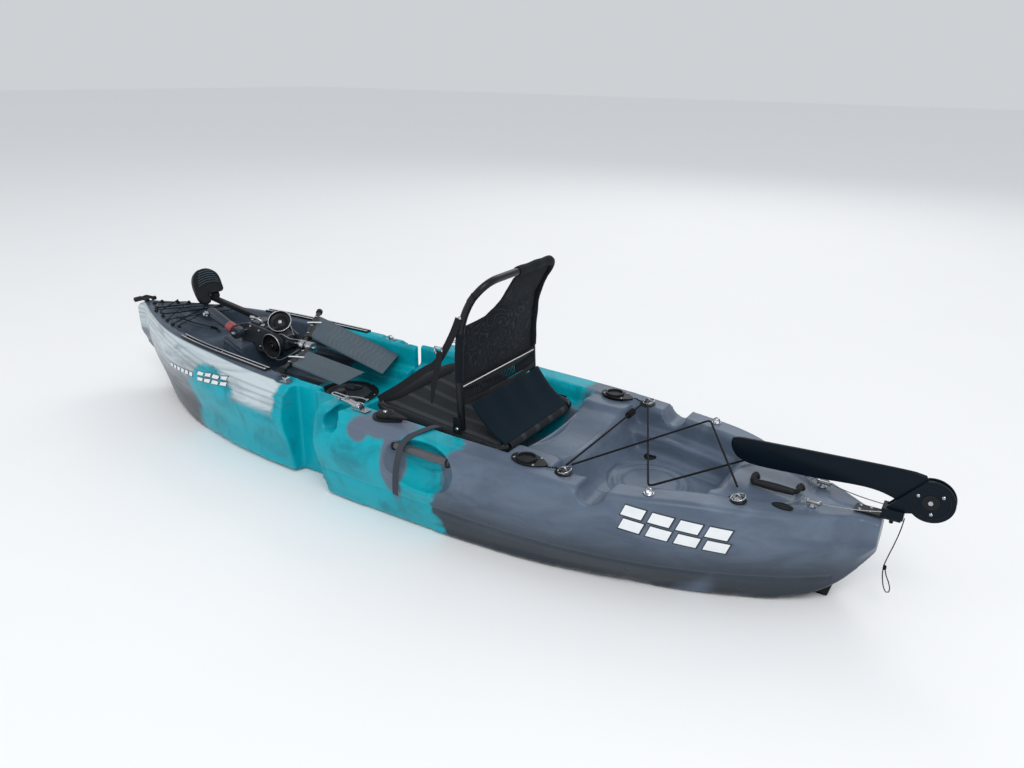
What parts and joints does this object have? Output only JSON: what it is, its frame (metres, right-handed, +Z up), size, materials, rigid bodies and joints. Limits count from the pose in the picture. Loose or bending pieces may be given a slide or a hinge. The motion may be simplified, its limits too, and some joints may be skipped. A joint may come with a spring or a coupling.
{
  "type": "pedal kayak",
  "caption": "Two-section sit-on-top pedal kayak: framed fabric seat, fin pedal drive lying on the bow deck, tank well, kick-up rudder.",
  "frame": {"origin": "centre of the bounding box at the ground, on the hull's centre plane", "axes": "+X towards the bow, +Y to port, +Z up"},
  "size_m": [3.1841, 0.806, 0.7691],
  "materials": {
    "hull_grey": "rotomoulded, marbled",
    "hull_blue": "rotomoulded, marbled",
    "black_plastic": "moulded",
    "rubber_grip": "soft grip",
    "steel": "stainless",
    "tube": "black anodised",
    "drive_plate": "satin",
    "fin_rubber": "matt",
    "seat_fabric": "woven mesh",
    "webbing": "woven",
    "shock_cord": "braided"
  },
  "bodies": {
    "stern_section": {"stern_hull": "hull_blue", "skid_plate": "hull_grey", "port_rod_holder": "black_plastic", "starboard_rod_holder": "black_plastic", "port_pad_eye_fore": "steel", "port_pad_eye_aft": "steel", "starboard_pad_eye_fore": "steel", "starboard_pad_eye_aft": "steel", "tank_bungee_a": "shock_cord", "tank_bungee_b": "shock_cord", "tank_bungee_tie": "shock_cord", "port_grab_handle": "rubber_grip", "starboard_grab_handle": "rubber_grip", "port_rudder_cleat": "steel", "starboard_rudder_cleat": "steel", "port_latch_base": "steel", "starboard_latch_base": "steel", "steering_base": "black_plastic", "seat_base_frame": "tube", "seat_sling": "seat_fabric", "seat_rear_panel": "seat_fabric", "seat_strap_port": "webbing", "seat_strap_starboard": "webbing", "rudder_bracket": "black_plastic", "rudder_pull_cord": "shock_cord"},
    "bow_section": {"bow_hull": "hull_grey", "hatch_rim": "black_plastic", "port_gear_track": "tube", "starboard_gear_track": "tube", "port_keeper": "steel", "starboard_keeper": "steel", "bow_bungee_a": "shock_cord", "bow_bungee_b": "shock_cord", "drive_spine": "drive_plate", "drive_axle": "steel", "fin_shaft": "steel", "port_cable_drum": "black_plastic", "starboard_cable_drum": "black_plastic"},
    "hatch_lid": {"hatch_lid": "black_plastic"},
    "bow_handle": {"bow_handle": "rubber_grip"},
    "stern_handle": {"stern_handle": "rubber_grip"},
    "port_latch": {"port_latch_lever": "steel"},
    "starboard_latch": {"starboard_latch_lever": "steel"},
    "port_bail": {"port_latch_bail": "steel"},
    "starboard_bail": {"starboard_latch_bail": "steel"},
    "steering_lever": {"steering_lever": "black_plastic"},
    "line_knob": {"line_knob": "black_plastic"},
    "seat_back": {"seat_back_frame": "tube", "seat_back_panel": "seat_fabric"},
    "right_arm": {"right_pedal_arm": "tube"},
    "right_pedal": {"right_pedal": "black_plastic"},
    "left_arm": {"left_pedal_arm": "tube"},
    "port_fin": {"port_fin_mast": "steel", "port_fin": "fin_rubber"},
    "starboard_fin": {"starboard_fin_mast": "steel", "starboard_fin": "fin_rubber"},
    "rudder_head": {"rudder_head": "black_plastic", "rudder_pivot": "steel"},
    "rudder_blade": {"rudder_blade": "black_plastic"}
  },
  "joints": [
    {"name": "bow_slide", "type": "slide", "parent": "stern_section", "child": "bow_section", "axis": [1, 0, 0], "range_m": [0, 0.3]},
    {"name": "hatch_twist", "type": "hinge", "parent": "bow_section", "child": "hatch_lid", "pos_m": [0.3821, 0, 0.19], "axis": [0, 0, 1], "range_deg": [0, 90]},
    {"name": "bow_handle_swing", "type": "hinge", "parent": "bow_section", "child": "bow_handle", "pos_m": [1.5001, 0, 0.37252], "axis": [0, -1, 0], "range_deg": [0, 100]},
    {"name": "stern_handle_swing", "type": "hinge", "parent": "stern_section", "child": "stern_handle", "pos_m": [-1.1729, 0.006, 0.29165], "axis": [1, 0, 0], "range_deg": [0, 50]},
    {"name": "port_latch_open", "type": "hinge", "parent": "stern_section", "child": "port_latch", "pos_m": [0.0401, 0.316, 0.33574], "axis": [0, -1, 0], "range_deg": [0, 110]},
    {"name": "port_bail_swing", "type": "hinge", "parent": "port_latch", "child": "port_bail", "pos_m": [0.0801, 0.316, 0.35024], "axis": [0, -1, 0], "range_deg": [0, 80]},
    {"name": "starboard_latch_open", "type": "hinge", "parent": "stern_section", "child": "starboard_latch", "pos_m": [0.0401, -0.316, 0.33574], "axis": [0, -1, 0], "range_deg": [0, 110]},
    {"name": "starboard_bail_swing", "type": "hinge", "parent": "starboard_latch", "child": "starboard_bail", "pos_m": [0.0801, -0.316, 0.35024], "axis": [0, -1, 0], "range_deg": [0, 80]},
    {"name": "steering_turn", "type": "hinge", "parent": "stern_section", "child": "steering_lever", "pos_m": [-0.0679, 0.31, 0.32037], "axis": [0, 0, 1], "range_deg": [-35, 35]},
    {"name": "line_knob_turn", "type": "hinge", "parent": "stern_section", "child": "line_knob", "pos_m": [0.1321, 0.288, 0.32532], "axis": [0, 0, 1], "continuous": true},
    {"name": "seat_back_fold", "type": "hinge", "parent": "stern_section", "child": "seat_back", "pos_m": [-0.2829, 0, 0.3], "axis": [0, 1, 0], "range_deg": [0, 80]},
    {"name": "right_arm_swing", "type": "hinge", "parent": "bow_section", "child": "right_arm", "pos_m": [0.8271, -0.052, 0.372], "axis": [0, 1, 0], "range_deg": [-25, 0]},
    {"name": "right_pedal_tilt", "type": "hinge", "parent": "right_arm", "child": "right_pedal", "pos_m": [1.17523, -0.052, 0.42403], "axis": [0, 1, 0], "range_deg": [-18, 10]},
    {"name": "left_arm_swing", "type": "hinge", "parent": "bow_section", "child": "left_arm", "pos_m": [0.8271, 0.104, 0.372], "axis": [0, 1, 0], "range_deg": [0, 25]},
    {"name": "port_fin_swing", "type": "hinge", "parent": "bow_section", "child": "port_fin", "pos_m": [0.5361, 0.022, 0.345], "axis": [1, 0, 0], "range_deg": [0, 55]},
    {"name": "starboard_fin_swing", "type": "hinge", "parent": "bow_section", "child": "starboard_fin", "pos_m": [0.5731, 0.022, 0.345], "axis": [1, 0, 0], "range_deg": [-55, 0]},
    {"name": "rudder_turn", "type": "hinge", "parent": "stern_section", "child": "rudder_head", "pos_m": [-1.4609, 0, 0.28021], "axis": [0, 0, 1], "range_deg": [-30, 30]},
    {"name": "rudder_kick", "type": "hinge", "parent": "rudder_head", "child": "rudder_blade", "pos_m": [-1.5379, 0, 0.346], "axis": [0, -1, 0], "range_deg": [0, 240]}
  ],
  "couplings": [
    {"joint": "left_arm_swing", "follows": "right_arm_swing", "ratio": -1},
    {"joint": "port_fin_swing", "follows": "right_arm_swing", "ratio": -2.2},
    {"joint": "starboard_fin_swing", "follows": "right_arm_swing", "ratio": 2.2},
    {"joint": "steering_turn", "follows": "rudder_turn", "ratio": 1}
  ]
}
